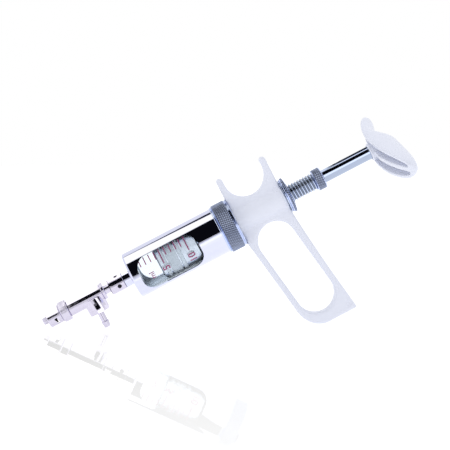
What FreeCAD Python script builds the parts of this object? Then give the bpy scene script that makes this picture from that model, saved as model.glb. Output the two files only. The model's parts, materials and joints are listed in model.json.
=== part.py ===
"""Self-refilling 10 ml dosing syringe with a finger-grip handle.

The syringe is modelled along its own tool axis: x runs from the Luer tip (0) to
the palm rest, z points from the finger loop to the index-finger horns, and -y
is the side with the front window. `settle` then tilts the whole tool to the
attitude in which it stands on the hose barb and the handle, with the origin at
the bottom centre of its bounding box. Lengths are in mm.
"""
import FreeCAD, Part
import math
import os

from FreeCAD import Vector

os.makedirs("parts", exist_ok=True)

# ---- driving dimensions -------------------------------------------------
CAPACITY_ML = 10.0
DOSE_SET_ML = 4.0
WINDOW_TURN_DEG = 11.0                             # front window, below the tool's side
BORE_R = 10.155                                    # glass bore radius
STROKE = CAPACITY_ML * 1000 / (math.pi * BORE_R ** 2)
ML = STROKE / CAPACITY_ML                          # travel per millilitre
TILT_DEG = 26.3                                    # tool axis above the floor
FIT = 0.05                                         # radial running clearance

# stations along the tool axis
TIP_X = 0.0
COLLAR_X = (2.9, 11.1)
FLANGE_X = (11.2, 16.0)
VALVE_X = (16.0, 36.8)
VALVE_REAR_X = 38.6
NECK_END_X = 45.0
UNION_X = (41.7, 50.8)
INLET_X = 30.6
CASE_X = (55.4, 116.6)
ZERO_X = 60.05                                     # piston front face at 0 ml
WINDOW_X = (60.5, 97.2)
GUIDE_X = (110.3, 115.2, 116.6)                    # rod guide: front of its hub, its flange
SPRING_X = 111.9                                   # front seat of the return spring
NUT_X = (110.8, 121.4)
HANDLE_X = (121.4, 151.9)
LOCK_X = (151.9, 152.7, 155.7)
SLEEVE_X = (127.0, 171.0)
KNOB_X = (170.7, 176.1)
TUBE_X = (124.5, 207.0)
REST_X = 207.1                                     # front rim of the palm rest

# radii
CASE_R = (12.3, 13.4)
GLASS_R = 12.05
NUT_R = 14.4
ROD_R = 2.0
TUBE_R = (3.15, 3.75)
SLEEVE_R = 5.15
THREAD_PITCH = 1.75
THREAD_DEPTH = 0.6
KNOB_R = 6.3
LOCK_NUT_R = 10.4
PORT_R = 1.2                                       # fluid passages
CHAMBER_R = 2.6                                    # valve chambers
HUB_R = 7.75
INSERT_R = 6.4
FLANGE_R = 12.2                                    # flanges held inside the case
BUSH_BORE_R = 5.2                                  # lets the plunger tube's flange pass
HANDLE_T = 9.0                                     # plate thickness across y
PISTON_X = ZERO_X + DOSE_SET_ML * ML
PISTON_LENGTH = 16.6                               # solid part, ahead of the nut
PISTON_SKIRT = 24.1                                # whole length, with the hollow skirt

# palm rest: a long shell, arched across its width, whose two lobes curve back
REST_TURN_DEG = 62.4                               # long axis, from -z towards -y
REST_LOBES = ((30.5, 9.1), (36.8, 10.2))           # half length and sag: far, near
REST_HALF_WIDTH = 9.4
REST_OVAL = 2.9                                    # superellipse exponent of the rim
REST_WALL = 2.0
REST_RIB = 3.0                                     # thickness of the central rib
REST_HEIGHT = (6.6, 15.1)                          # arch height of the far and near lobes
REST_DROOP = 6.3                                   # how far the near lobe's arch falls off

AXIS_X = Vector(1, 0, 0)
AXIS_Y = Vector(0, 1, 0)
AXIS_Z = Vector(0, 0, 1)
parts = {}


# ---- helpers ------------------------------------------------------------
def polygon(points):
    """Planar face from 3-D points."""
    return Part.Face(Part.makePolygon(list(points) + [points[0]]))


def turned(profile):
    """Solid of revolution about the tool axis from (x, radius) points."""
    face = polygon([Vector(x, 0, r) for x, r in profile])
    return face.revolve(Vector(0, 0, 0), AXIS_X, 360)


def tube(x0, x1, r_out, r_in=0.0, bevel=0.0):
    """Tube or rod along the tool axis, with outer edges bevelled."""
    b = bevel
    outline = [(x0, r_in), (x0, r_out - b), (x0 + b, r_out), (x1 - b, r_out), (x1, r_out - b), (x1, r_in)]
    if not b:
        outline = [(x0, r_in), (x0, r_out), (x1, r_out), (x1, r_in)]
    return turned(outline)


def branch(z0, z1, r_out, r_in=0.0):
    """Tube or rod along the inlet branch, from z0 down to z1."""
    outer = Part.makeCylinder(r_out, z0 - z1, Vector(INLET_X, 0, z1), AXIS_Z)
    if r_in:
        outer = outer.cut(Part.makeCylinder(r_in, z0 - z1, Vector(INLET_X, 0, z1), AXIS_Z))
    return outer


def fillet_where(shape, radius, wanted):
    """Round every edge for which wanted(edge) is true."""
    return shape.makeFillet(radius, [edge for edge in shape.Edges if wanted(edge)])


def threaded(x0, x1, r_out, r_in):
    """Externally threaded tube, its thread drawn as V grooves one pitch apart."""
    points = [(x0, r_in), (x0, r_out - THREAD_DEPTH)]
    count = int((x1 - x0) / THREAD_PITCH)
    for i in range(count):
        start = x0 + i * THREAD_PITCH
        points += [(start + 0.35 * THREAD_PITCH, r_out), (start + 0.55 * THREAD_PITCH, r_out)]
        points += [(start + 0.9 * THREAD_PITCH, r_out - THREAD_DEPTH)]
        points += [(start + THREAD_PITCH, r_out - THREAD_DEPTH)]
    points += [(x1, r_out - THREAD_DEPTH), (x1, r_in)]
    clean = [p for i, p in enumerate(points) if i == 0 or p != points[i - 1]]
    return turned(clean)


# ---- Luer nozzle and valve ----------------------------------------------
def make_nozzle():
    """Male 6 % Luer cone with its flange and the spigot that screws into the valve."""
    cone_r = 1.99
    cone_end = 9.0
    cone_base_r = cone_r + 0.03 * cone_end
    shoulder_r = 3.3
    spigot_r = 3.2
    spigot_x = 20.0
    bore = 0.9
    parts["luer_nozzle"] = turned([
        (TIP_X, bore), (TIP_X, cone_r - 0.2), (0.2, cone_r), (cone_end, cone_base_r),
        (cone_end, shoulder_r), (FLANGE_X[0], shoulder_r), (FLANGE_X[0], 5.6),
        (FLANGE_X[0] + 0.4, 6.0), (FLANGE_X[1] - 0.4, 6.0), (FLANGE_X[1], 5.6),
        (FLANGE_X[1], spigot_r), (spigot_x, spigot_r), (spigot_x, bore)])
    collar = turned([
        (COLLAR_X[0], 3.9), (COLLAR_X[0], 4.7), (COLLAR_X[0] + 0.3, 5.0), (COLLAR_X[1] - 0.3, 5.0),
        (COLLAR_X[1], 4.7), (COLLAR_X[1], shoulder_r), (cone_end, shoulder_r), (cone_end, 3.6),
        (7.4, 3.6), (7.0, 4.1), (5.4, 4.1), (5.0, 3.6), (3.6, 3.6), (3.2, 4.1)])
    slot = Part.makeBox(1.5, 20, 3.2, Vector(7.0, -10, -4.2))
    slot.rotate(Vector(7.75, 0, -2.6), AXIS_Y, -15)
    parts["luer_lock_collar"] = collar.cut(slot)
    parts["nozzle_gasket"] = tube(spigot_x, spigot_x + 0.8, 3.1, 1.3)


def make_valve():
    """Valve body with its eight-sided inlet boss, outlet chamber and neck."""
    boss_r = 6.3
    boss_z = (-1.0, -9.7)
    first_corner = 36
    body = tube(VALVE_X[0], VALVE_X[1], 4.5, bevel=0.3)
    body = body.fuse(tube(VALVE_X[1], VALVE_REAR_X, 4.9, bevel=0.3))
    body = body.fuse(tube(VALVE_REAR_X, NECK_END_X - 1.8, 2.5))
    body = body.fuse(tube(NECK_END_X - 1.8, NECK_END_X, 3.5))
    angles = [math.radians(first_corner + 45 * i) for i in range(8)]
    corners = [Vector(INLET_X + boss_r * math.cos(a), boss_r * math.sin(a), boss_z[1]) for a in angles]
    height = boss_z[0] - boss_z[1]
    octagon = polygon(corners).extrude(Vector(0, 0, height))
    chamfer = (boss_r - 0.5, boss_r - 0.5 + height, height)
    low = Part.makeCone(*chamfer, Vector(INLET_X, 0, boss_z[1]), AXIS_Z)
    high = Part.makeCone(*chamfer, Vector(INLET_X, 0, boss_z[0]), -AXIS_Z)
    body = body.fuse(octagon.common(low).common(high))
    body = body.cut(tube(VALVE_X[0], 20.8, 3.2))
    body = body.cut(tube(20.8, 27.0, CHAMBER_R))
    body = body.cut(turned([
        (27.0, 0), (27.0, CHAMBER_R), (28.4, PORT_R), (NECK_END_X, PORT_R), (NECK_END_X, 0)]))
    body = body.cut(branch(0.0, -9.7, PORT_R - 0.1))
    body = body.cut(branch(-3.0, -6.4, CHAMBER_R))
    body = body.cut(branch(-6.4, -9.7, 3.2))
    parts["valve_body"] = body.removeSplitter()

    ball_r = 1.6
    parts["outlet_ball"] = Part.makeSphere(ball_r, Vector(26.72, 0, 0))
    parts["outlet_spring"] = tube(20.85, 26.1, 1.9, 1.5)
    parts["inlet_ball"] = Part.makeSphere(ball_r, Vector(INLET_X, 0, -5.45))
    parts["inlet_spring"] = branch(-3.05, -4.85, 1.9, 1.5)


def make_nipple():
    """Hose barb that screws into the inlet boss and carries the inlet seat."""
    bore = 0.9
    shank_r = 1.85
    profile = [(-6.45, bore + 0.4), (-6.45, 3.15), (-9.7, 3.15), (-9.7, 2.3), (-10.1, shank_r),
               (-15.2, shank_r), (-15.4, 2.25), (-18.7, 1.65), (-18.9, 1.45), (-18.9, bore), (-7.2, bore)]
    face = polygon([Vector(INLET_X + r, 0, z) for z, r in profile])
    parts["inlet_nipple"] = face.revolve(Vector(INLET_X, 0, 0), AXIS_Z, 360)


def make_union():
    """Union nut that clamps the valve neck against the barrel head."""
    nut = turned([
        (UNION_X[0], 2.6), (UNION_X[0], 4.3), (UNION_X[0] + 0.4, 4.7), (UNION_X[1] - 0.4, 4.7),
        (UNION_X[1], 4.3), (UNION_X[1], 3.75), (NECK_END_X - 1.85, 3.75), (NECK_END_X - 1.85, 2.6)])
    hole_x = 47.3
    for direction in (AXIS_Y, AXIS_Z):
        start = Vector(hole_x, 0, 0) - direction * 10
        nut = nut.cut(Part.makeCylinder(1.25, 20, start, direction).cut(tube(hole_x - 3, hole_x + 3, 3.8)))
    nut.rotate(Vector(0, 0, 0), AXIS_X, 21)
    parts["union_nut"] = nut
    parts["union_gasket"] = tube(NECK_END_X, NECK_END_X + 0.7, 3.4, PORT_R + 0.1)


# ---- barrel -------------------------------------------------------------
def make_case():
    """Metal case with its spigot and two opposite windows."""
    spigot_r = 4.6
    thread_r = 3.7
    wall_x = 57.6
    head_r = 8.8
    head_x = ZERO_X - 0.25
    case = turned([
        (NECK_END_X + 0.7, PORT_R), (NECK_END_X + 0.7, thread_r), (UNION_X[1], thread_r),
        (UNION_X[1], spigot_r), (CASE_X[0], spigot_r), (CASE_X[0], CASE_R[1] - 1.2),
        (CASE_X[0] + 0.35, CASE_R[1] - 0.35), (CASE_X[0] + 1.2, CASE_R[1]), (NUT_X[0], CASE_R[1]),
        (NUT_X[0], 13.0), (CASE_X[1], 13.0), (CASE_X[1], CASE_R[0]), (wall_x, CASE_R[0]),
        (wall_x, head_r), (head_x, head_r), (head_x, PORT_R)])
    length = WINDOW_X[1] - WINDOW_X[0]
    chord = 19.4
    depth = 40.0
    window = Part.makeBox(length, depth, chord, Vector(WINDOW_X[0], -depth / 2, -chord / 2))
    window = fillet_where(window, 7.0, lambda e: abs(abs(e.tangentAt(e.FirstParameter).y) - 1) < 1e-6)
    window.rotate(Vector(0, 0, 0), AXIS_X, WINDOW_TURN_DEG)
    window = window.cut(tube(WINDOW_X[0] - 1, WINDOW_X[1] + 1, CASE_R[0]))
    parts["barrel_case"] = case.cut(window)


def make_glass():
    """Graduated glass cylinder between two flat gaskets, and the rod guide behind
    it, whose hub stands inside the piston's skirt at the full dose."""
    front = 59.0
    rear = 113.8
    hub_r = 7.4
    bore = ROD_R + FIT
    parts["front_gasket"] = tube(57.6, front, GLASS_R, 8.9)
    parts["glass_cylinder"] = tube(front, rear, GLASS_R, BORE_R, bevel=0.2)
    parts["rear_gasket"] = tube(rear, GUIDE_X[1], GLASS_R, BORE_R + 0.1)
    parts["guide_plate"] = turned([
        (GUIDE_X[0], bore), (GUIDE_X[0], hub_r), (GUIDE_X[1], hub_r), (GUIDE_X[1], FLANGE_R),
        (GUIDE_X[2], FLANGE_R), (GUIDE_X[2], BUSH_BORE_R), (SPRING_X, BUSH_BORE_R), (SPRING_X, bore)])


def make_piston():
    """Hollow piston with two seal rings and a sealing band, on the piston rod."""
    x = PISTON_X
    web_end = x + PISTON_LENGTH
    skirt_end = x + PISTON_SKIRT
    skirt_bore = 8.6
    land = BORE_R - 0.12
    groove = BORE_R - 1.9
    rod_seat = x + 3.0
    parts["piston_core"] = turned([
        (x, 0), (x, land - 0.8), (x + 0.8, land), (x + 2.4, land), (x + 2.4, groove), (x + 4.6, groove),
        (x + 4.6, land), (x + 5.4, land), (x + 5.4, groove), (x + 11.2, groove), (x + 11.2, land),
        (x + 12.0, land), (x + 12.0, groove), (x + 14.2, groove), (x + 14.2, land), (skirt_end - 0.4, land),
        (skirt_end, land - 0.4), (skirt_end, skirt_bore), (web_end, skirt_bore), (web_end, ROD_R),
        (rod_seat, ROD_R), (rod_seat, 0)])
    lip = land + 0.06
    parts["piston_ring_front"] = tube(x + 2.45, x + 4.55, lip, groove, bevel=0.2)
    parts["piston_ring_rear"] = tube(x + 12.05, x + 14.15, lip, groove, bevel=0.2)
    parts["piston_band"] = tube(x + 5.45, x + 11.15, land, groove, bevel=0.1)
    parts["piston_nut"] = tube(web_end, web_end + 2.6, 8.4, ROD_R, bevel=0.4)
    parts["piston_rod"] = tube(rod_seat, 211.0, ROD_R, bevel=0.3)


# ---- handle -------------------------------------------------------------
def make_barrel_nut():
    """Ring nut on the case thread; its rear lip holds the handle bush."""
    rim = 0.5
    parts["barrel_nut"] = turned([
        (NUT_X[0], 13.0), (NUT_X[0], NUT_R - rim), (NUT_X[0] + rim, NUT_R), (NUT_X[1] - rim, NUT_R),
        (NUT_X[1], NUT_R - rim), (NUT_X[1], 10.5), (118.0, 10.5), (118.0, 13.0)])
    parts["handle_bush"] = turned([
        (GUIDE_X[2], BUSH_BORE_R), (GUIDE_X[2], FLANGE_R), (117.95, FLANGE_R), (117.95, 10.4),
        (NUT_X[1], 10.4), (NUT_X[1], INSERT_R), (131.0, INSERT_R), (131.0, BUSH_BORE_R)])


def arc_through(a, b, c):
    """Arc in the handle's plane through three (x, z) points."""
    return Part.Arc(*[Vector(x, 0, z) for x, z in (a, b, c)]).toShape()


def line(a, b):
    """Straight edge in the handle's plane."""
    return Part.makeLine(Vector(a[0], 0, a[1]), Vector(b[0], 0, b[1]))


def slot_wire(top, bottom, radius):
    """Round-ended slot between two (x, z) centres."""
    dx, dz = bottom[0] - top[0], bottom[1] - top[1]
    length = math.hypot(dx, dz)
    along = (dx / length, dz / length)
    side = (-along[1] * radius, along[0] * radius)
    a = (top[0] + side[0], top[1] + side[1])
    b = (top[0] - side[0], top[1] - side[1])
    c = (bottom[0] - side[0], bottom[1] - side[1])
    d = (bottom[0] + side[0], bottom[1] + side[1])
    over = (top[0] - along[0] * radius, top[1] - along[1] * radius)
    under = (bottom[0] + along[0] * radius, bottom[1] + along[1] * radius)
    return Part.Wire([arc_through(a, over, b), line(b, c), arc_through(c, under, d), line(d, a)])


HORN_TOP = 26.1
HORN_W = 3.6
RING_CENTRE = (136.55, 21.4)
LOOP_TOP = (137.1, -19.85)
LOOP_BOTTOM = (142.5, -56.0)
LOOP_R = 10.95
LOOP_FLOOR = -73.9


def make_handle():
    """One-piece plastic grip: two horns above, a closed three-finger loop below."""
    x0, x1 = HANDLE_X
    ring_r = (x1 - x0 - 2 * HORN_W) / 2
    horn = HORN_W / 2
    left = (x0 + horn, HORN_TOP - horn)
    right = (x1 - horn, HORN_TOP - horn)
    edges = [
        line((x0, -13.8), (x0, left[1])),
        arc_through((x0, left[1]), (left[0], HORN_TOP), (x0 + HORN_W, left[1])),
        line((x0 + HORN_W, left[1]), (x0 + HORN_W, RING_CENTRE[1])),
        arc_through((x0 + HORN_W, RING_CENTRE[1]), (x0 + HORN_W + ring_r, RING_CENTRE[1] - ring_r),
                    (x1 - HORN_W, RING_CENTRE[1])),
        line((x1 - HORN_W, RING_CENTRE[1]), (x1 - HORN_W, right[1])),
        arc_through((x1 - HORN_W, right[1]), (right[0], HORN_TOP), (x1, right[1])),
        line((x1, right[1]), (x1, -11.0)),
        arc_through((x1, -11.0), (155.0, -39.1), (158.8, -65.9)),
        line((158.8, -65.9), (159.9, LOOP_FLOOR)),
        line((159.9, LOOP_FLOOR), (142.0, LOOP_FLOOR)),
        arc_through((142.0, LOOP_FLOOR), (133.2, -70.0), (128.7, -61.7)),
        arc_through((128.7, -61.7), (124.9, -36.3), (x0, -13.8)),
    ]
    outline = Part.Face(Part.Wire(edges))
    plate = outline.extrude(Vector(0, HANDLE_T, 0))
    plate.translate(Vector(0, -HANDLE_T / 2, 0))
    slot = Part.Face(slot_wire(LOOP_TOP, LOOP_BOTTOM, LOOP_R)).extrude(Vector(0, 2 * HANDLE_T, 0))
    slot.translate(Vector(0, -HANDLE_T, 0))
    plate = plate.cut(slot)
    half = HANDLE_T / 2
    plate = fillet_where(plate, 1.5, lambda e: all(abs(abs(v.Point.y) - half) < 1e-6 for v in e.Vertexes)
                         and abs(e.tangentAt(e.FirstParameter).y) < 1e-6)
    hub = tube(x0, x1, HUB_R)
    body = plate.fuse(hub).removeSplitter()
    body = body.cut(tube(x0 - 1, x1 + 1, BUSH_BORE_R))
    body = body.cut(tube(x0 - 1, 131.0, INSERT_R)).cut(tube(136.0, x1 + 1, INSERT_R))
    parts["handle"] = body
    parts["sleeve_insert"] = turned([
        (136.0, SLEEVE_R + FIT), (136.0, INSERT_R), (x1 - 0.01, INSERT_R), (x1 - 0.01, SLEEVE_R + FIT)])


# ---- dose setting and plunger -------------------------------------------
def make_dose_parts():
    """Lock nut, threaded dose sleeve with its knob, and the stop washer."""
    bore = SLEEVE_R + FIT
    parts["lock_washer"] = tube(LOCK_X[0], LOCK_X[1], 9.6, bore, bevel=0.2)
    parts["lock_nut"] = turned([
        (LOCK_X[1], bore), (LOCK_X[1], LOCK_NUT_R - 0.3), (LOCK_X[1] + 0.3, LOCK_NUT_R),
        (LOCK_X[1] + 2.0, LOCK_NUT_R), (LOCK_X[1] + 2.3, LOCK_NUT_R - 0.3), (LOCK_X[2], 6.6),
        (LOCK_X[2], bore)])
    tube_bore = TUBE_R[1] + FIT
    parts["dose_sleeve"] = threaded(SLEEVE_X[0], KNOB_X[0], SLEEVE_R, tube_bore)
    parts["dose_knob"] = tube(KNOB_X[0], KNOB_X[1], KNOB_R, tube_bore, bevel=0.5)
    parts["stop_washer"] = tube(SLEEVE_X[0] - 1.0, SLEEVE_X[0], 4.9, tube_bore)


def make_plunger():
    """Plunger tube with its stop flange, end plug, nut and return spring."""
    flange_x = TUBE_X[0] + 1.45
    plug_x = 203.0
    bore = ROD_R + FIT
    parts["plunger_tube"] = turned([
        (TUBE_X[0], TUBE_R[0]), (TUBE_X[0], 4.9), (flange_x, 4.9), (flange_x, TUBE_R[1]),
        (TUBE_X[1], TUBE_R[1]), (TUBE_X[1], TUBE_R[0])])
    parts["tube_end_plug"] = tube(plug_x, TUBE_X[1], TUBE_R[0], bore)
    parts["thumb_nut"] = tube(TUBE_X[1] + 0.1, TUBE_X[1] + 2.6, 3.6, bore, bevel=0.3)
    parts["return_spring"] = tube(SPRING_X, plug_x, 2.95, 2.35)


def rest_section(share, wall):
    """Closed arch across the palm rest at one share of a lobe's half length."""
    half_length, sag = REST_LOBES[0] if share < 0 else REST_LOBES[1]
    closing = (1 - abs(share) ** REST_OVAL) ** (1 / REST_OVAL)
    rise = min(max((share + 0.5) / 0.6, 0), 1)
    low, high = REST_HEIGHT
    crown = low + (high - low) * rise ** 2 * (3 - 2 * rise) - REST_DROOP * max(share, 0) ** 2
    front = 1.0 if wall else 0.0                   # a cutter starts ahead of the rim
    base = REST_X + sag * share ** 2 - front
    height = crown * closing - wall + front
    width = REST_HALF_WIDTH * closing - wall
    arch = []
    for i in range(13):
        angle = math.pi * i / 12
        arch.append(Vector(base + height * math.sin(angle), width * math.cos(angle), -half_length * share))
    curve = Part.BSplineCurve()
    curve.interpolate(arch)
    return Part.Wire([curve.toShape(), Part.makeLine(arch[-1], arch[0])])


def rest_shell(wall, reach):
    """Solid bounded by the palm rest's outer face, moved inwards by wall."""
    stations = 18
    angles = [math.radians(reach * (2 * i / stations - 1)) for i in range(stations + 1)]
    return Part.makeLoft([rest_section(math.sin(a), wall) for a in angles], True)


def make_palm_rest():
    """Palm rest: a hollow saddle with a central rib and a hub for the tube."""
    hub_r = 5.0
    hub_end = REST_X + 9.0
    rib_front = REST_X + 0.8
    near = REST_LOBES[1][0]
    rib = Part.makeBox(30, REST_RIB, 2 * near, Vector(rib_front, -REST_RIB / 2, -near))
    body = rest_shell(0.0, 86).cut(rest_shell(REST_WALL, 68).cut(rib))
    body = body.fuse(tube(REST_X - 1.5, hub_end, hub_r))
    body = body.cut(tube(REST_X - 2, TUBE_X[1], TUBE_R[1])).cut(tube(TUBE_X[1], TUBE_X[1] + 2.7, 3.8))
    body = body.cut(tube(TUBE_X[1], 211.1, ROD_R + 0.1))
    body.rotate(Vector(0, 0, 0), AXIS_X, -REST_TURN_DEG)
    parts["palm_rest"] = body.removeSplitter()


# ---- standing attitude --------------------------------------------------
def mesh_bounds(shapes):
    """Lowest and highest corner of the tessellated shapes."""
    points = [p for shape in shapes for p in shape.tessellate(0.02)[0]]
    low = Vector(*[min(p[i] for p in points) for i in range(3)])
    high = Vector(*[max(p[i] for p in points) for i in range(3)])
    return low, high


def settle():
    """Tilt every part, then put the origin at the bottom centre of the whole tool."""
    for shape in parts.values():
        shape.rotate(Vector(0, 0, 0), AXIS_Y, -TILT_DEG)
    low, high = mesh_bounds(parts.values())
    shift = Vector(-(low.x + high.x) / 2, -(low.y + high.y) / 2, -low.z)
    for shape in parts.values():
        shape.translate(shift)
    return shift


make_nozzle()
make_valve()
make_nipple()
make_union()
make_case()
make_glass()
make_piston()
make_barrel_nut()
make_handle()
make_dose_parts()
make_plunger()
make_palm_rest()
SHIFT = settle()

for name, shape in parts.items():
    shape.exportStep(f"parts/{name}.step")
    print(f"{name:20s} valid={shape.isValid()} solids={len(shape.Solids)} volume={shape.Volume:.1f}")
print("shift", SHIFT, "parts", len(parts))
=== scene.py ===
"""Looks of the self-refilling dosing syringe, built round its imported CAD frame.

New pieces are made in the tool's own axes, where x runs from the Luer tip to
the palm rest, -y is the side with the front window and z points to the horns.
TOOL then places them in the row frame. Lengths are in metres; MM converts.
"""
import json
import math

import bmesh
import bpy
import numpy as np
from mathutils import Matrix, Quaternion, Vector


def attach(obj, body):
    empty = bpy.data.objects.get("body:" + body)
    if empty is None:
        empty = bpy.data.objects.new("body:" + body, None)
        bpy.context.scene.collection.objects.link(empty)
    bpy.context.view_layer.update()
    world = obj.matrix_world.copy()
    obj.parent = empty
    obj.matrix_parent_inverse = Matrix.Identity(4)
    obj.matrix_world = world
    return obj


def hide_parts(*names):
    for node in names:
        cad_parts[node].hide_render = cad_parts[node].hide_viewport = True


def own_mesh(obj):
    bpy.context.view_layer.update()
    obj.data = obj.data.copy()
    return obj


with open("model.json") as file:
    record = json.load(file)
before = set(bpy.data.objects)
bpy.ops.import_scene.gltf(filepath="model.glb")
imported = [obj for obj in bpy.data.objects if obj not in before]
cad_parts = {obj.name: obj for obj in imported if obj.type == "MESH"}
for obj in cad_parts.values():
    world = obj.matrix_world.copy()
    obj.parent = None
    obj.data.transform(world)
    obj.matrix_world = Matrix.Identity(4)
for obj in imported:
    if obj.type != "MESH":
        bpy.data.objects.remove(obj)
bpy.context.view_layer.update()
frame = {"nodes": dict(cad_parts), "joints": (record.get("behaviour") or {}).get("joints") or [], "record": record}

MM = 0.001

# ---- the tool's axes and sizes, from the frame --------------------------
MOUNTS = {mount["name"]: mount for mount in frame["record"]["mounts"]}
JOINTS = {joint["name"]: joint for joint in frame["joints"]}
TIP = Vector(MOUNTS["luer_tip"]["pos_m"])
AXIS = Vector(JOINTS["dose_travel"]["axis"]).normalized()
SIDE = Vector((0, 1, 0))
TOOL = Matrix((AXIS, SIDE, AXIS.cross(SIDE))).transposed().to_4x4()
TOOL.translation = TIP
MILLILITRE = 3.0865 * MM                           # piston travel for one millilitre
PAINT_MASK = "groove"                                    # vertex attribute: how deep a cut is, and where a bore or the case's inside is; the material paints shade and light by it
PITCH = 2 * math.pi / next(c["ratio"] for c in frame["record"]["behaviour"]["couplings"]
                           if c["joint"] == "dose_turn")


def tool_points(node):
    """A CAD node's vertices in the tool's axes."""
    co = np.array([v.co for v in frame["nodes"][node].data.vertices], float)
    inverse = np.array(TOOL.inverted())
    return co @ inverse[:3, :3].T + inverse[:3, 3]


class Turned:
    """Ends and radii of a CAD node that is round about the tool axis."""

    def __init__(self, node):
        points = tool_points(node)
        radii = np.hypot(points[:, 1], points[:, 2])
        self.start, self.end = points[:, 0].min(), points[:, 0].max()
        self.bore, self.radius = radii.min(), radii.max()
        self.length = self.end - self.start


# ---- materials ----------------------------------------------------------
class Surface:
    """A node material round one Principled shader, patterned in the tool's axes."""

    def __init__(self, name, **inputs):
        self.material = bpy.data.materials.new(name)
        self.material.use_nodes = True
        self.tree = self.material.node_tree
        self.shader = self.tree.nodes["Principled BSDF"]
        for key, value in inputs.items():
            socket = key.replace("_", " ").title().replace("Ior", "IOR")
            self.shader.inputs[socket].default_value = value

    def link(self, source, target):
        self.tree.links.new(source, target)

    def grain(self, size, detail=3.0, roughness=0.55):
        """Noise whose features are about size, (x, y, z), in the tool's axes."""
        where = self.tree.nodes.new("ShaderNodeTexCoord")
        mapping = self.tree.nodes.new("ShaderNodeMapping")
        mapping.vector_type = "TEXTURE"
        mapping.inputs["Location"].default_value = TIP
        mapping.inputs["Rotation"].default_value = TOOL.to_euler()
        mapping.inputs["Scale"].default_value = size
        noise = self.tree.nodes.new("ShaderNodeTexNoise")
        noise.inputs["Scale"].default_value = 1.0
        noise.inputs["Detail"].default_value = detail
        noise.inputs["Roughness"].default_value = roughness
        self.link(where.outputs["Object"], mapping.inputs["Vector"])
        self.link(mapping.outputs["Vector"], noise.inputs["Vector"])
        return noise.outputs["Fac"]

    def vary(self, socket, source, low, high):
        """Drive a shader number from a noise, between low and high."""
        ramp = self.tree.nodes.new("ShaderNodeMapRange")
        ramp.inputs["From Min"].default_value = 0.3
        ramp.inputs["From Max"].default_value = 0.7
        ramp.inputs["To Min"].default_value = low
        ramp.inputs["To Max"].default_value = high
        self.link(source, ramp.inputs["Value"])
        self.link(ramp.outputs["Result"], self.shader.inputs[socket])

    def mix_base(self, factor, second, blend="MIX"):
        """Mix a second colour into the base colour, and return the first's socket."""
        mix = self.tree.nodes.new("ShaderNodeMix")
        mix.data_type = "RGBA"
        mix.blend_type = blend
        colours = [s for s in mix.inputs if s.type == "RGBA"]
        colours[1].default_value = (*second, 1)
        self.link(factor, mix.inputs["Factor"])
        result = next(s for s in mix.outputs if s.type == "RGBA")
        self.link(result, self.shader.inputs["Base Color"])
        return colours[0]

    def tint(self, source, first, second):
        """Blend the base colour between two close tints by a noise."""
        self.mix_base(source, second).default_value = (*first, 1)

    def marks(self):
        """How strongly a mesh is marked, from 0 to 1."""
        attribute = self.tree.nodes.new("ShaderNodeAttribute")
        attribute.attribute_name = PAINT_MASK
        return attribute.outputs["Fac"]

    def paint_shading_marked(self, share):
        """Scale the base colour where a mesh is marked: painted shade where the scale is below 1, painted light
        where it is above.
        """
        base = self.shader.inputs["Base Color"].links[0].from_socket
        self.link(base, self.mix_base(self.marks(), (share, share, share), "MULTIPLY"))

    def roughen_marked(self, amount):
        """Add to the roughness where a mesh is marked."""
        rough = self.shader.inputs["Roughness"].links[0].from_socket
        total = self.tree.nodes.new("ShaderNodeMath")
        total.operation = "MULTIPLY_ADD"
        total.inputs[1].default_value = amount
        self.link(self.marks(), total.inputs[0])
        self.link(rough, total.inputs[2])
        self.link(total.outputs["Value"], self.shader.inputs["Roughness"])

    def bump(self, source, height):
        """Raise the surface by a noise, on top of the bumps it has already."""
        bump = self.tree.nodes.new("ShaderNodeBump")
        bump.inputs["Strength"].default_value = 1.0
        bump.inputs["Distance"].default_value = height
        self.link(source, bump.inputs["Height"])
        normal = self.shader.inputs["Normal"]
        if normal.is_linked:
            self.link(normal.links[0].from_socket, bump.inputs["Normal"])
        self.link(bump.outputs["Normal"], normal)


def moulded_plastic(name, colour):
    """Satin moulded polyamide with a fine eroded grain and slight sink marks."""
    surface = Surface(name, specular_ior_level=0.45)
    light = tuple(min(1.0, c * 1.03) for c in colour)
    surface.tint(surface.grain((9 * MM, 9 * MM, 9 * MM)), colour, light)
    surface.vary("Roughness", surface.grain((3 * MM, 3 * MM, 3 * MM)), 0.30, 0.42)
    surface.bump(surface.grain((0.25 * MM,) * 3, detail=2.0), 0.006 * MM)
    surface.bump(surface.grain((14 * MM,) * 3, detail=1.0), 0.10 * MM)
    return surface.material


def metal(name, colour, rough, marks, mark_height, dull=0.94, painted_shading=1.0, matt=0.0):
    """Metal with tool marks of the given feature size, smudges and a slight tint
    change. Where a mesh is marked, its colour is scaled by a factor that paints shade
    below 1 and light above 1, and its roughness grows by matt."""
    surface = Surface(name, metallic=1.0)
    dark = tuple(c * dull for c in colour)
    surface.tint(surface.grain((6 * MM, 6 * MM, 6 * MM)), dark, colour)
    surface.vary("Roughness", surface.grain((2.5 * MM, 4 * MM, 4 * MM), detail=5.0), *rough)
    surface.bump(surface.grain(marks, detail=4.0), mark_height)
    if painted_shading != 1:
        surface.paint_shading_marked(painted_shading)
    if matt > 0:
        surface.roughen_marked(matt)
    return surface.material


def clear_glass(name):
    """Clear borosilicate with the faintest draw lines. It bends light less than real
    glass, because the real barrel is wetted on both sides."""
    surface = Surface(name, transmission_weight=1.0, ior=1.12, base_color=(0.88, 0.92, 0.96, 1))
    surface.vary("Roughness", surface.grain((20 * MM, 3 * MM, 3 * MM)), 0.0, 0.02)
    surface.bump(surface.grain((40 * MM, 4 * MM, 4 * MM), detail=1.0), 0.004 * MM)
    return surface.material


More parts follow.
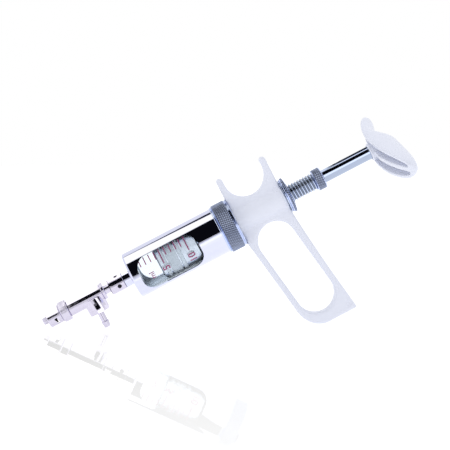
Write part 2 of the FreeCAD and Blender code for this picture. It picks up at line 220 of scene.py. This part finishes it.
def seal_material(name, colour, transmission=0.0):
    """Soft seal material with a fine matt skin."""
    surface = Surface(name, specular_ior_level=0.35, transmission_weight=transmission)
    surface.tint(surface.grain((1.5 * MM,) * 3), colour, tuple(c * 1.12 for c in colour))
    surface.vary("Roughness", surface.grain((1 * MM,) * 3), 0.42, 0.6)
    surface.bump(surface.grain((0.15 * MM,) * 3), 0.004 * MM)
    return surface.material


def enamel(name, colour):
    """Fired scale ink, a little uneven in density."""
    surface = Surface(name, specular_ior_level=0.4)
    surface.tint(surface.grain((0.5 * MM,) * 3), colour, tuple(c * 1.5 for c in colour))
    surface.vary("Roughness", surface.grain((0.4 * MM,) * 3), 0.3, 0.5)
    surface.bump(surface.grain((0.2 * MM,) * 3), 0.003 * MM)
    return surface.material


RINGS = (0.12 * MM, 30 * MM, 30 * MM)              # turning marks, round the axis
DRAWN = (60 * MM, 0.15 * MM, 0.15 * MM)            # drawing marks, along the axis
FINE = (0.3 * MM, 0.3 * MM, 0.3 * MM)
MATERIALS = {
    "grip_plastic": moulded_plastic("satin_polyamide", (0.70, 0.725, 0.83)),
    # Painted light: the case's marked inside is lifted to 1.38 times its colour; its added roughness is a real
    # satin finish.
    "chrome_case": metal("bright_chrome", (0.70, 0.72, 0.91), (0.012, 0.04), DRAWN,
                         0.00015 * MM, painted_shading=1.38, matt=0.4),
    # Painted shade: marked bores are scaled nearly to black.
    "chrome_valve": metal("valve_chrome", (0.67, 0.64, 0.77), (0.03, 0.08), RINGS,
                          0.0003 * MM, painted_shading=0.04),
    # Painted shade: the knurl's grooves are darkened by how deep they are cut.
    "knurled_chrome": metal("knurled_chrome", (0.57, 0.65, 0.90), (0.10, 0.20), FINE,
                            0.001 * MM, dull=0.9, painted_shading=0.1),
    "plunger_chrome": metal("tube_chrome", (0.40, 0.46, 0.60), (0.03, 0.10), DRAWN, 0.0005 * MM),
    # Painted shade: the thread's roots are darkened by how deep they are cut.
    "thread_steel": metal("turned_steel", (0.60, 0.68, 0.86), (0.06, 0.14), FINE,
                          0.001 * MM, dull=0.9, painted_shading=0.35),
    "turned_brass": metal("plated_brass", (0.84, 0.87, 0.93), (0.34, 0.46), RINGS, 0.0008 * MM),
    "spring_steel": metal("spring_wire", (0.52, 0.53, 0.56), (0.15, 0.3), FINE, 0.001 * MM,
                          dull=0.8),
    "ball_steel": metal("polished_ball", (0.78, 0.78, 0.80), (0.02, 0.06), FINE, 0.0002 * MM),
    "barrel_glass": clear_glass("borosilicate"),
    "piston_band": seal_material("milky_fluoropolymer", (0.78, 0.82, 0.87), 0.1),
    "seal_rubber": seal_material("pale_silicone", (0.76, 0.80, 0.85)),
}
# Black for the thin ring that paints shade inside the union nut's holes.
SHADE_BLACK = metal("painted_shade_black", (0.03, 0.03, 0.035), (0.4, 0.6), FINE, 0.002 * MM)
INK = enamel("magenta_enamel", (0.20, 0.012, 0.085))


def coat_cad_nodes():
    """Give every CAD node its slot's material."""
    for subpart in frame["record"]["subparts"]:
        node = frame["nodes"][subpart["node"]]
        for slot in node.material_slots:
            slot.material = MATERIALS[subpart["material_slot"]]


# ---- mesh helpers -------------------------------------------------------
def add_piece(name, mesh, body, slot=None, replaces=(), material=None, smooth=True):
    """Link a mesh that is in the tool's axes as a piece of the object. It gets its
    slot's material, unless another is given."""
    mesh.transform(TOOL)
    piece = bpy.data.objects.new(name, mesh)
    bpy.context.scene.collection.objects.link(piece)
    mesh.materials.clear()
    mesh.materials.append(material or MATERIALS[slot])
    if smooth:
        mesh.shade_smooth()
    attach(piece, body)
    if replaces:
        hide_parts(*replaces)
    return piece


def mesh_from(verts, faces):
    """A mesh with its normals outwards."""
    bm = bmesh.new()
    added = [bm.verts.new(v) for v in verts]
    for face in faces:
        bm.faces.new([added[i] for i in face])
    bmesh.ops.recalc_face_normals(bm, faces=bm.faces)
    mesh = bpy.data.meshes.new("piece")
    bm.to_mesh(mesh)
    bm.free()
    return mesh


def sharpen(mesh, degrees=35):
    """Keep edges sharper than an angle crisp under smooth shading."""
    mesh.set_sharp_from_angle(angle=math.radians(degrees))


def mark(mesh, shares):
    """Store how strongly each vertex is marked, from 0 to 1, for the material to read when it paints shade and
    light.
    """
    attribute = mesh.attributes.new(PAINT_MASK, "FLOAT", "POINT")
    attribute.data.foreach_set("value", shares)


def triangle_wave(t):
    """1 at whole numbers, 0 halfway between them."""
    return np.abs(2 * (t - np.floor(t)) - 1)


def revolve(outline, steps, diamonds=0, row=1 * MM, depth=0.0):
    """Closed turned mesh. outline holds (x, radius, relief) with its outer side
    running towards +x; relief is how much of the diamond knurl's depth shows."""
    table = np.array(outline, float)
    x, r, relief = table.T
    run = np.concatenate([[0], np.cumsum(np.hypot(np.diff(x), np.diff(r)))])
    tangent_x = np.roll(x, -1) - np.roll(x, 1)
    tangent_r = np.roll(r, -1) - np.roll(r, 1)
    size = np.maximum(np.hypot(tangent_x, tangent_r), 1e-9)
    verts, marks = [], []
    for j in range(steps):
        turn = j / steps
        across, along = diamonds * turn, run / row / 2
        cut = np.maximum(triangle_wave(across + along), triangle_wave(across - along))
        sink = relief * depth * cut
        xs = x + tangent_r / size * sink
        rs = r - tangent_x / size * sink
        c, s = math.cos(2 * math.pi * turn), math.sin(2 * math.pi * turn)
        verts += [(px, pr * c, pr * s) for px, pr in zip(xs, rs)]
        marks += list(relief * cut)
    n = len(outline)
    faces = []
    for j in range(steps):
        a, b = j * n, (j + 1) % steps * n
        faces += [(a + i, a + (i + 1) % n, b + (i + 1) % n, b + i) for i in range(n)]
    mesh = mesh_from(verts, faces)
    # the material paints shade in the knurl's grooves by this cut share
    mark(mesh, marks)
    return mesh


def band(x0, x1, radius, rows, relief=1.0):
    """Closely spaced outline points along a knurled band, faded in at both ends."""
    points = []
    for i in range(rows + 1):
        fade = min(1.0, i / 2, (rows - i) / 2)
        points.append((x0 + (x1 - x0) * i / rows, radius, relief * fade))
    return points


def in_tool_axes(node):
    """Copy of a CAD node's mesh in the tool's axes, its seams welded."""
    mesh = frame["nodes"][node].data.copy()
    mesh.transform(TOOL.inverted())
    bm = bmesh.new()
    bm.from_mesh(mesh)
    bmesh.ops.remove_doubles(bm, verts=bm.verts, dist=1e-6)
    bm.to_mesh(mesh)
    bm.free()
    return mesh


# ---- turned and milled metal --------------------------------------------
FLAT_DEG = 0.5                                     # faces closer than this are one
CORNER_DEG = 32                                    # sharper edges than this are broken
TURNED_SLACK = 0.1                                 # how far a turned facet may face sideways


def keep_shading(mesh, turned):
    """Store each face corner's normal, so that it can be given back after new edges.
    On a piece turned about the tool axis, facets of turned faces get their true one."""
    normals = np.empty(3 * len(mesh.loops))
    mesh.corner_normals.foreach_get("vector", normals)
    normals = normals.reshape(-1, 3)
    for face in mesh.polygons:
        normal, centre = face.normal, face.center
        reach = math.hypot(centre.y, centre.z)
        sideways = abs(normal.z * centre.y - normal.y * centre.z)
        if turned and sideways < TURNED_SLACK * reach:
            outward = (normal.y * centre.y + normal.z * centre.z) / reach
            for corner in face.loop_indices:
                out = Vector(mesh.vertices[mesh.loops[corner].vertex_index].co.yz).normalized()
                normals[corner] = normal.x, out.x * outward, out.y * outward
    kept = mesh.attributes.new("shading", "FLOAT_VECTOR", "CORNER")
    kept.data.foreach_set("vector", normals.ravel())


def round_over(bm, width):
    """Bevel the sharp outer edges. The faces beside a bevel keep their own shading,
    and the bevel's runs from the one's to the other's, like a true round."""
    corners = [edge for edge in bm.edges if edge.is_manifold and edge.is_convex
               and edge.calc_face_angle() > math.radians(CORNER_DEG)]
    made = bmesh.ops.bevel(bm, geom=corners, offset=width, offset_type="OFFSET", segments=1,
                           profile=0.5, affect="EDGES", clamp_overlap=True)["faces"]
    rounds = set(made)
    shading = bm.loops.layers.float_vector["shading"]
    for face in made:
        for corner in face.loops:
            beside = [other[shading] for other in corner.vert.link_loops if other.face not in rounds]
            corner[shading] = sum(beside, Vector()) if beside else corner.vert.normal
    return [corner[shading].normalized() for face in bm.faces for corner in face.loops]


def broken_edges(node, width, turned=True):
    """Copy of a CAD node's mesh with its outer edges broken by a small round."""
    mesh = in_tool_axes(node)
    bm = bmesh.new()
    bm.from_mesh(mesh)
    bmesh.ops.dissolve_limit(bm, angle_limit=math.radians(FLAT_DEG), verts=bm.verts, edges=bm.edges)
    bm.to_mesh(mesh)
    mesh.shade_smooth()
    sharpen(mesh)
    keep_shading(mesh, turned)
    bm.clear()
    bm.from_mesh(mesh)
    normals = round_over(bm, width)
    bm.to_mesh(mesh)
    bm.free()
    mesh.attributes.remove(mesh.attributes["shading"])
    mesh.normals_split_custom_set(normals)
    return mesh


def mark_inside(mesh, radius, first_x=0.0):
    """Mark the surfaces nearer to the tool axis than a radius, behind a station, where the material paints shade
    in bores and light inside the case.
    """
    mark(mesh, [float(math.hypot(v.co.y, v.co.z) < radius and v.co.x > first_x)
                for v in mesh.vertices])


def make_case():
    """Chromed case: polished outside, satin inside with painted light lifting the inner wall, its window edges
    rounded.
    """
    within, satin_from = 12.6 * MM, 56 * MM        # between the bore and the outside; behind the head
    mesh = broken_edges("barrel_case", 0.25 * MM)
    mark_inside(mesh, within, satin_from)
    add_piece("polished_case", mesh, "root", "chrome_case", ["barrel_case"])


def make_valve_group():
    """Luer end, valve body, hose barb and union nut, their bores darkened with painted shade.
    The table below holds, in mm, the radius inside which a piece is painted dark and the station it starts at."""
    painted_shade_within = {"luer_nozzle": (3.4, 3.2), "luer_lock_collar": (4.6, 0.0),
                   "valve_body": (2.2, 0.0), "inlet_nipple": (0.0, 0.0), "union_nut": (4.5, 0.0)}
    for node, (radius, first_x) in painted_shade_within.items():
        mesh = broken_edges(node, 0.12 * MM, turned=node != "inlet_nipple")
        mark_inside(mesh, radius * MM, first_x * MM)
        add_piece(node + "_plated", mesh, "root", "chrome_valve", [node])
    # A thin black ring between the case's thread and the nut's bore paints shade into the nut's holes.
    nut = Turned("union_nut")
    start = nut.end - 5 * MM
    inner, outer = 3.7 * MM, 3.7 * MM + 0.04 * MM
    outline = [(start, inner, 0), (start, outer, 0), (nut.end, outer, 0), (nut.end, inner, 0)]
    add_piece("union_hole_shade", revolve(outline, 64), "root", "spring_steel", material=SHADE_BLACK)


# ---- knurled rings ------------------------------------------------------
KNURL_STEPS = 8                                    # mesh steps across one diamond


def add_knurled(name, node, body, outline, diamonds, row, depth):
    """Turn a knurled ring and put it in its CAD node's place."""
    mesh = revolve(outline, diamonds * KNURL_STEPS, diamonds=diamonds, row=row, depth=depth)
    sharpen(mesh)
    add_piece(name, mesh, body, "knurled_chrome", [node])


def make_barrel_nut():
    """Ring nut: a diamond knurl between two plain rims."""
    nut = Turned("barrel_nut")
    seat = 13.0 * MM                               # bore over the case thread
    lip = 3.4 * MM                                 # depth of the rear lip
    rim = 1.25 * MM
    groove = 0.35 * MM
    r, x0, x1 = nut.radius, nut.start, nut.end
    outline = [(x0, seat, 0), (x0, r - 0.9 * MM, 0), (x0 + 0.3 * MM, r - 0.6 * MM, 0),
               (x0 + rim - groove, r - 0.6 * MM, 0), (x0 + rim, r - 0.9 * MM, 0),
               (x0 + rim + 0.1 * MM, r, 0)]
    outline += band(x0 + rim + 0.2 * MM, x1 - rim - 0.3 * MM, r, 64)
    outline += [(x1 - rim - 0.2 * MM, r, 0), (x1 - rim - 0.1 * MM, r - 0.6 * MM, 0),
                (x1 - rim + groove, r - 0.6 * MM, 0), (x1 - rim + 1.5 * groove, r - 0.25 * MM, 0),
                (x1 - 0.3 * MM, r - 0.25 * MM, 0), (x1, r - 0.55 * MM, 0), (x1, nut.bore, 0),
                (x1 - lip, nut.bore, 0), (x1 - lip, seat, 0)]
    add_knurled("knurled_ring_nut", "barrel_nut", "root", outline,
                diamonds=64, row=0.72 * MM, depth=0.42 * MM)


def make_lock_nut():
    """Lock nut: knurled rim, with a knurled cone behind it."""
    nut = Turned("lock_nut")
    r, x0, x1 = nut.radius, nut.start, nut.end
    hub = 6.6 * MM
    outline = [(x0, nut.bore, 0), (x0, r - 0.7 * MM, 0), (x0 + 0.3 * MM, r - 0.4 * MM, 0),
               (x0 + 0.75 * MM, r - 0.4 * MM, 0), (x0 + 0.8 * MM, r, 0)]
    outline += band(x0 + 0.85 * MM, x0 + 2.0 * MM, r, 12)
    rows = 16
    rim = 2.2 * MM                                 # where the cone starts
    for i in range(rows + 1):
        share = i / rows
        x = x0 + rim + (x1 - x0 - rim) * share
        fade = min(1.0, i / 2) * (1 - 0.6 * share)
        outline.append((x, r - 0.25 * MM + (hub - r) * share, fade))
    outline.append((x1, nut.bore, 0))
    add_knurled("knurled_lock_nut", "lock_nut", "lock_nut", outline,
                diamonds=44, row=0.7 * MM, depth=0.4 * MM)


def make_dose_knob():
    """Knurled ring on the end of the dose sleeve."""
    knob = Turned("dose_knob")
    r, x0, x1 = knob.radius, knob.start, knob.end
    edge = 0.45 * MM
    outline = [(x0, knob.bore, 0), (x0, r - edge, 0), (x0 + edge, r, 0)]
    outline += band(x0 + edge + 0.1 * MM, x1 - edge - 0.1 * MM, r, 44)
    outline += [(x1 - edge, r, 0), (x1, r - edge, 0), (x1, knob.bore, 0)]
    add_knurled("knurled_dose_knob", "dose_knob", "dose_screw", outline,
                diamonds=28, row=0.7 * MM, depth=0.4 * MM)


# ---- thread and springs -------------------------------------------------
THREAD_DEPTH = 0.75 * MM
THREAD_PROFILE = [(0.00, 1.0), (0.10, 0.93), (0.20, 0.55), (0.30, 0.10), (0.38, 0.0),
                  (0.52, 0.0), (0.60, 0.10), (0.70, 0.55), (0.80, 0.93), (0.90, 1.0)]


def thread_skin(sleeve, around=72):
    """Open helical skin, one start, right-handed, longer than the sleeve at both ends.
    THREAD_PROFILE holds (share of the pitch, share of the depth)."""
    turns = int(sleeve.length / PITCH) + 3
    per_turn = len(THREAD_PROFILE)
    rows = turns * per_turn + 1
    verts = []
    for j in range(around):
        turn = j / around
        c, s = math.cos(2 * math.pi * turn), math.sin(2 * math.pi * turn)
        for k in range(rows):
            share, sink = THREAD_PROFILE[k % per_turn]
            x = sleeve.start + (k // per_turn - 1.5 + share + turn) * PITCH
            radius = sleeve.radius - THREAD_DEPTH * sink
            verts.append((x, radius * c, radius * s))
    faces = []
    for j in range(around):
        a = j * rows
        last = j == around - 1
        b = 0 if last else a + rows
        lead = per_turn if last else 0
        faces += [(a + k, a + k + 1, b + k + 1 + lead, b + k + lead)
                  for k in range(rows - 1 - lead)]
    return mesh_from(verts, faces)


def close_sleeve(bm, start, end, bore):
    """Cut an open skin to length, and close it with flat ends and a bore."""
    for x, side in ((start, -1), (end, 1)):
        bmesh.ops.bisect_plane(bm, geom=bm.verts[:] + bm.edges[:] + bm.faces[:], dist=1e-8,
                               plane_co=(x, 0, 0), plane_no=(side, 0, 0), clear_outer=True)
    for x in (start, end):
        rim = [e for e in bm.edges
               if e.is_boundary and all(abs(v.co.x - x) < 1e-6 for v in e.verts)]
        inner = bmesh.ops.extrude_edge_only(bm, edges=rim)["geom"]
        for vert in (g for g in inner if isinstance(g, bmesh.types.BMVert)):
            vert.co.yz = vert.co.yz.normalized() * bore
    ends = [e for e in bm.edges if e.is_boundary]
    bmesh.ops.bridge_loops(bm, edges=ends)
    bmesh.ops.recalc_face_normals(bm, faces=bm.faces)


def make_dose_thread():
    """Dose sleeve with its true helical thread."""
    sleeve = Turned("dose_sleeve")
    clear = 0.03 * MM                              # from the stop washer
    mesh = thread_skin(sleeve)
    bm = bmesh.new()
    bm.from_mesh(mesh)
    close_sleeve(bm, sleeve.start + clear, sleeve.end, sleeve.bore)
    bm.to_mesh(mesh)
    bm.free()
    # the thread's roots are marked by depth, for the material to paint shade there
    cut = [(sleeve.radius - math.hypot(v.co.y, v.co.z)) / THREAD_DEPTH for v in mesh.vertices]
    mark(mesh, [min(max(share, 0), 1) for share in cut])
    sharpen(mesh, 50)
    add_piece("threaded_sleeve", mesh, "dose_screw", "thread_steel", ["dose_sleeve"])


def coil(start, end, radius, wire, turns, closed=1.0):
    """Round-wire compression spring along x, its end turns closed up."""
    per_turn, sides = 28, 10
    count = int(turns * per_turn)
    verts = []
    length = end - start - 2 * wire
    slow = 2 * wire / length                       # advance of one closed turn
    for i in range(count + 1):
        turn = i / per_turn
        middle = (turn - closed) / (turns - 2 * closed)
        share = slow * min(turn, closed) + (1 - 2 * slow * closed) * min(max(middle, 0), 1)
        share += slow * max(turn - turns + closed, 0)
        angle = 2 * math.pi * turn
        out = Vector((0, math.cos(angle), math.sin(angle)))
        centre = Vector((start + wire + length * share, 0, 0)) + out * radius
        for k in range(sides):
            around = 2 * math.pi * k / sides
            verts.append(centre + out * wire * math.cos(around)
                         + Vector((wire * math.sin(around), 0, 0)))
    faces = []
    for i in range(count):
        a, b = i * sides, (i + 1) * sides
        faces += [(a + k, a + (k + 1) % sides, b + (k + 1) % sides, b + k) for k in range(sides)]
    faces.append(tuple(range(sides)))
    faces.append(tuple(range(count * sides, (count + 1) * sides)))
    return mesh_from(verts, faces)


def wire_radius(spring):
    """Radius of the wire that fills a spring's CAD tube."""
    return (spring.radius - spring.bore) / 2


def add_spring(name, node, mesh):
    """Put a coil in its CAD node's place, with a mesh of its own."""
    piece = add_piece(name, mesh, "root", "spring_steel", [node])
    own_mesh(piece)


def make_springs():
    """The return spring in the plunger tube, and the two valve springs."""
    for name, node, joint, turns in (("return_coil", "return_spring", "plunger_slide", 30),
                                     ("outlet_coil", "outlet_spring", "outlet_lift", 6)):
        spring = Turned(node)
        wire = wire_radius(spring)
        mesh = coil(spring.start, spring.end, spring.bore + wire, wire, turns)
        add_spring(name, node, mesh)

    wire = wire_radius(Turned("outlet_spring"))    # both valve springs are of one wire
    points = tool_points("inlet_spring")           # its axis is across the tool's
    low, high = points[:, 2].min(), points[:, 2].max()
    branch_x = (points[:, 0].min() + points[:, 0].max()) / 2
    outer = (points[:, 0].max() - points[:, 0].min()) / 2
    mesh = coil(low, high, outer - wire, wire, 4)
    mesh.transform(Matrix.Translation((branch_x, 0, 0)) @ Matrix.Rotation(-math.pi / 2, 4, "Y"))
    add_spring("inlet_coil", "inlet_spring", mesh)


# ---- moulded parts ------------------------------------------------------
def moulded(node, voxel, rounds):
    """Copy of a CAD node's mesh, in the tool's axes, with its edges and creases
    softened as in a moulding."""
    blank = bpy.data.objects.new("blank", in_tool_axes(node))
    bpy.context.scene.collection.objects.link(blank)
    remesh = blank.modifiers.new("remesh", "REMESH")
    remesh.mode = "VOXEL"
    remesh.voxel_size = voxel
    soften = blank.modifiers.new("soften", "SMOOTH")
    soften.factor = 0.5
    soften.iterations = rounds
    graph = bpy.context.evaluated_depsgraph_get()
    result = bpy.data.meshes.new_from_object(blank.evaluated_get(graph))
    bpy.data.objects.remove(blank)
    return result


def press_disc(mesh, centre, radius, depth):
    """Sink a round ejector mark into the face on the front window's side."""
    edge = 0.35 * MM
    for vert in mesh.vertices:
        if vert.co.y < -4 * MM:
            distance = math.hypot(vert.co.x - centre[0], vert.co.z - centre[1])
            share = min(max((radius + edge / 2 - distance) / edge, 0), 1)
            vert.co.y += depth * share * share * (3 - 2 * share)


def make_handle():
    """Grip with softened edges and the ejector mark at its heel."""
    mesh = moulded("handle", voxel=0.42 * MM, rounds=8)
    points = tool_points("handle")
    heel_x, heel_z = points[:, 0].max(), points[:, 2].min()
    press_disc(mesh, (heel_x - 3.2 * MM, heel_z + 4.1 * MM), radius=1.5 * MM, depth=0.3 * MM)
    add_piece("moulded_handle", mesh, "root", "grip_plastic", ["handle"])


def make_palm_rest():
    """Palm rest with a rounded rim and keel."""
    mesh = moulded("palm_rest", voxel=0.36 * MM, rounds=5)
    add_piece("moulded_palm_rest", mesh, "plunger", "grip_plastic", ["palm_rest"])


# ---- scale on the glass -------------------------------------------------
INK_THICKNESS = 0.02 * MM


def wrap_on_glass(mesh, radius):
    """Bend a flat mesh (x, height above the axis, outwards) onto the front of the glass."""
    for vert in mesh.vertices:
        x, height, out = vert.co
        angle = height / radius
        vert.co = (x, -(radius + out) * math.cos(angle), (radius + out) * math.sin(angle))


def slab(x0, x1, low, high, rows):
    """Flat strip of ink, cut into rows so that it bends with the glass."""
    verts, faces = [], []
    for i in range(rows + 1):
        height = low + (high - low) * i / rows
        verts += [(x, height, out) for x, out in
                  ((x0, 0), (x1, 0), (x1, INK_THICKNESS), (x0, INK_THICKNESS))]
    for i in range(rows):
        a, b = 4 * i, 4 * (i + 1)
        faces += [(a + k, a + (k + 1) % 4, b + (k + 1) % 4, b + k) for k in range(4)]
    faces += [(0, 1, 2, 3), tuple(4 * rows + k for k in range(4))]
    return mesh_from(verts, faces)


def lettering(text, x, height, size):
    """Flat ink lettering that reads upwards, centred on x, from a height downwards."""
    curve = bpy.data.curves.new("lettering", "FONT")
    curve.body = text
    curve.size = size / 0.73                       # capitals are 0.73 of the font's size
    curve.extrude = INK_THICKNESS / 2
    curve.resolution_u = 6
    curve.offset = 0.012 * size
    shape = bpy.data.objects.new("lettering", curve)
    bpy.context.scene.collection.objects.link(shape)
    graph = bpy.context.evaluated_depsgraph_get()
    mesh = bpy.data.meshes.new_from_object(shape.evaluated_get(graph))
    bpy.data.objects.remove(shape)
    bm = bmesh.new()
    bm.from_mesh(mesh)
    bmesh.ops.remove_doubles(bm, verts=bm.verts, dist=1e-7)
    wide = max(v.co.x for v in bm.verts)
    cuts = int(wide / (0.4 * MM))
    for i in range(1, cuts + 1):
        bmesh.ops.bisect_plane(bm, geom=bm.verts[:] + bm.edges[:] + bm.faces[:], dist=1e-8,
                               plane_co=(wide * i / (cuts + 1), 0, 0), plane_no=(1, 0, 0))
    tall = max(v.co.y for v in bm.verts)
    for vert in bm.verts:
        reading, up, out = vert.co
        vert.co = (x + tall / 2 - up, height - wide + reading, out + INK_THICKNESS / 2)
    bm.to_mesh(mesh)
    bm.free()
    return mesh


def make_scale():
    """Ten strokes, and the numbers 5 and 10 with their unit."""
    zero = Turned("front_gasket").end + 1.05 * MM
    radius = Turned("glass_cylinder").radius + 0.01 * MM
    half_width, top = 0.27 * MM, 7.8 * MM
    short_foot, long_foot = 2.8 * MM, -1.0 * MM
    flat = []
    for number in range(1, 11):
        x = zero + number * MILLILITRE
        foot = long_foot if number % 5 == 0 else short_foot
        flat.append(slab(x - half_width, x + half_width, foot, top, 20))
    flat.append(lettering("5", zero + 5 * MILLILITRE, -2.8 * MM, 4.3 * MM))
    flat.append(lettering("10", zero + 10 * MILLILITRE, -2.7 * MM, 4.3 * MM))
    flat.append(lettering("ml", zero + 2.15 * MILLILITRE, -2.2 * MM, 3.2 * MM))
    whole = bmesh.new()
    for mesh in flat:
        wrap_on_glass(mesh, radius)
        whole.from_mesh(mesh)
    bmesh.ops.recalc_face_normals(whole, faces=whole.faces)
    mesh = bpy.data.meshes.new("scale")
    whole.to_mesh(mesh)
    whole.free()
    add_piece("glass_scale", mesh, "root", material=INK, smooth=False)


# ---- studio -------------------------------------------------------------
SIGHT = TIP + Vector((106.13 * MM, 0, 55.65 * MM)) # the camera's distance is from here
AIM_OFFSET = (-3.60 * MM, -3.51 * MM)              # right and up, from there to the picture's middle
AZIMUTH_DEG = -3.0
ELEVATION_DEG = 3.0
ROLL_DEG = -1.07
DISTANCE = 0.7
LENS = 99.93


def camera_axes():
    """Unit vectors from the object to the camera, to its right and up."""
    a, e = math.radians(AZIMUTH_DEG), math.radians(ELEVATION_DEG)
    back = Vector((math.sin(a) * math.cos(e), -math.cos(a) * math.cos(e), math.sin(e)))
    right = Vector((0, 0, 1)).cross(back).normalized()
    return back, right, back.cross(right)


def make_camera():
    """Long lens, a little above the floor, slightly to the left and barely tilted."""
    back, right, up = camera_axes()
    place = SIGHT + back * DISTANCE
    aim = SIGHT + right * AIM_OFFSET[0] + up * AIM_OFFSET[1]
    data = bpy.data.cameras.new("camera")
    data.lens = LENS
    data.sensor_width = 36
    data.clip_start, data.clip_end = 0.05, 50
    camera = bpy.data.objects.new("camera", data)
    camera.location = place
    look = (aim - place).to_track_quat("-Z", "Y")
    camera.rotation_euler = (look @ Quaternion((0, 0, 1), math.radians(ROLL_DEG))).to_euler()
    bpy.context.scene.collection.objects.link(camera)
    bpy.context.scene.camera = camera


GLOSS_FADE = 20 * MM                               # the floor's gloss fades in over twice this


def make_floor():
    """Wide white sheet, glossy only in front of the tool."""
    bm = bmesh.new()
    bmesh.ops.create_circle(bm, cap_ends=True, segments=96, radius=12)
    mesh = bpy.data.meshes.new("floor")
    bm.to_mesh(mesh)
    bm.free()
    floor = bpy.data.objects.new("floor", mesh)
    bpy.context.scene.collection.objects.link(floor)
    surface = Surface("white_acrylic", base_color=(0.5, 0.5, 0.5, 1), roughness=0.6,
                      specular_ior_level=0.0, emission_color=(1, 1, 1, 1), emission_strength=0.73)
    nodes = surface.tree.nodes
    gloss = nodes.new("ShaderNodeBsdfGlossy")
    gloss.inputs["Color"].default_value = (1, 1, 1, 1)
    gloss.inputs["Roughness"].default_value = 0.015
    sheen = nodes.new("ShaderNodeFresnel")
    sheen.inputs["IOR"].default_value = 1.33
    where = nodes.new("ShaderNodeTexCoord")
    place = nodes.new("ShaderNodeSeparateXYZ")
    surface.link(where.outputs["Object"], place.inputs["Vector"])
    front = nodes.new("ShaderNodeMapRange")
    front.inputs["From Min"].default_value = GLOSS_FADE
    front.inputs["From Max"].default_value = -GLOSS_FADE
    surface.link(place.outputs["Y"], front.inputs["Value"])
    share = nodes.new("ShaderNodeMath")
    share.operation = "MULTIPLY"
    surface.link(sheen.outputs["Fac"], share.inputs[0])
    surface.link(front.outputs["Result"], share.inputs[1])
    mix = nodes.new("ShaderNodeMixShader")
    surface.link(share.outputs["Value"], mix.inputs["Fac"])
    surface.link(surface.shader.outputs["BSDF"], mix.inputs[1])
    surface.link(gloss.outputs["BSDF"], mix.inputs[2])
    surface.link(mix.outputs["Shader"], nodes["Material Output"].inputs["Surface"])
    surface.material.cycles.emission_sampling = "NONE"
    mesh.materials.append(surface.material)


def make_area(name, place, aim, size, power):
    """White soft box, which the camera and the chrome don't see."""
    data = bpy.data.lights.new(name, "AREA")
    data.shape = "RECTANGLE"
    data.size, data.size_y = size
    data.energy = power
    light = bpy.data.objects.new(name, data)
    light.location = place
    light.rotation_euler = (Vector(aim) - Vector(place)).to_track_quat("-Z", "Y").to_euler()
    light.visible_camera = False
    light.visible_glossy = False
    bpy.context.scene.collection.objects.link(light)


def card(name, colour, stations, radius=1.0):
    """Curved studio card round the tool axis, seen only in reflections. stations
    holds (x, first angle, last angle), in metres and degrees; angles turn upwards from
    the camera's side."""
    back = camera_axes()[0]
    up = AXIS.cross(SIDE)
    forward = math.degrees(math.atan2(back.dot(up), -back.dot(SIDE)))
    steps = 24
    verts = []
    for x, first, last in stations:
        for i in range(steps + 1):
            angle = math.radians(forward + first + (last - first) * i / steps)
            verts.append((x, -radius * math.cos(angle), radius * math.sin(angle)))
    n = steps + 1
    faces = [(s * n + i, s * n + i + 1, (s + 1) * n + i + 1, (s + 1) * n + i)
             for s in range(len(stations) - 1) for i in range(steps)]
    mesh = mesh_from(verts, faces)
    mesh.transform(TOOL)
    sheet = bpy.data.objects.new(name, mesh)
    bpy.context.scene.collection.objects.link(sheet)
    surface = Surface(name, base_color=(0, 0, 0, 1), roughness=1.0, specular_ior_level=0.0,
                      emission_color=(*colour, 1), emission_strength=1.0)
    surface.material.cycles.emission_sampling = "NONE"
    mesh.materials.append(surface.material)
    for kind in ("camera", "diffuse", "transmission", "volume_scatter", "shadow"):
        setattr(sheet, "visible_" + kind, False)


def make_studio():
    """White surround, an overhead soft box, and dark and bright cards for the chrome to
    mirror. A card stands much further out than the tool, so the stretch of the tool
    that mirrors it is shorter than the card."""
    scene = bpy.context.scene
    scene.view_settings.view_transform = "Standard"
    world = bpy.data.worlds.new("white_surround")
    world.use_nodes = True
    world.node_tree.nodes["Background"].inputs["Color"].default_value = (1, 1, 1, 1)
    world.node_tree.nodes["Background"].inputs["Strength"].default_value = 1.0
    scene.world = world
    make_area("overhead", (-0.1, 0.1, 1.1), (0, 0, 0.05), (0.9, 0.7), 1.2)
    black = (0.004, 0.004, 0.006)
    card("dark_card_collar", black, [(-0.16, -12, 23), (-0.1215, -12, 23)])
    card("dark_card_front", black, [
        (-0.1095, 4, 52), (-0.059, 4, 52), (-0.057, 14, 62), (-0.048, 14, 62), (-0.046, 1, 57),
        (-0.026, 1, 57), (-0.024, 0, 68), (-0.014, 0, 68), (-0.012, -8, 64), (0.146, -22, 68),
        (0.235, 20, 80), (0.288, 20, 80), (0.295, 15, 72), (1.2, 15, 72)])
    card("dark_card_back", (0.02, 0.02, 0.035), [
        (-0.013, 113.5, 116), (0.008, 113, 116), (0.146, 99, 117), (0.150, 76, 117),
        (0.212, 76, 117), (0.225, 99, 117)])
    card("grey_card_plunger", (0.03, 0.035, 0.05), [(0.295, 88, 150), (0.42, 88, 150)])
    card("bright_card_low", (2.1, 2.1, 2.15), [(0.26, -34, 13), (0.42, -34, 13)])
    card("bright_card_high", (1.9, 1.9, 1.95), [(0.295, 73, 87), (0.42, 73, 87)])
    card("bright_card_sleeve", (1.6, 1.6, 1.6), [(0.232, 84, 150), (0.29, 84, 150)])
    for x0, x1, low in ((-0.16, -0.1215, 27), (-0.1095, -0.060, 55), (-0.047, -0.014, 72)):
        card("bright_card_valve", (1.9, 1.9, 1.7), [(x0, low, 150), (x1, low, 150)])
    card("bright_card_case", (1.5, 1.45, 1.15),
         [(-0.0125, 66, 112), (0.008, 67, 110), (0.146, 70, 97)])


make_camera()
make_studio()
make_floor()
coat_cad_nodes()
make_case()
make_valve_group()
make_barrel_nut()
make_lock_nut()
make_dose_knob()
make_dose_thread()
make_springs()
make_handle()
make_palm_rest()
make_scale()
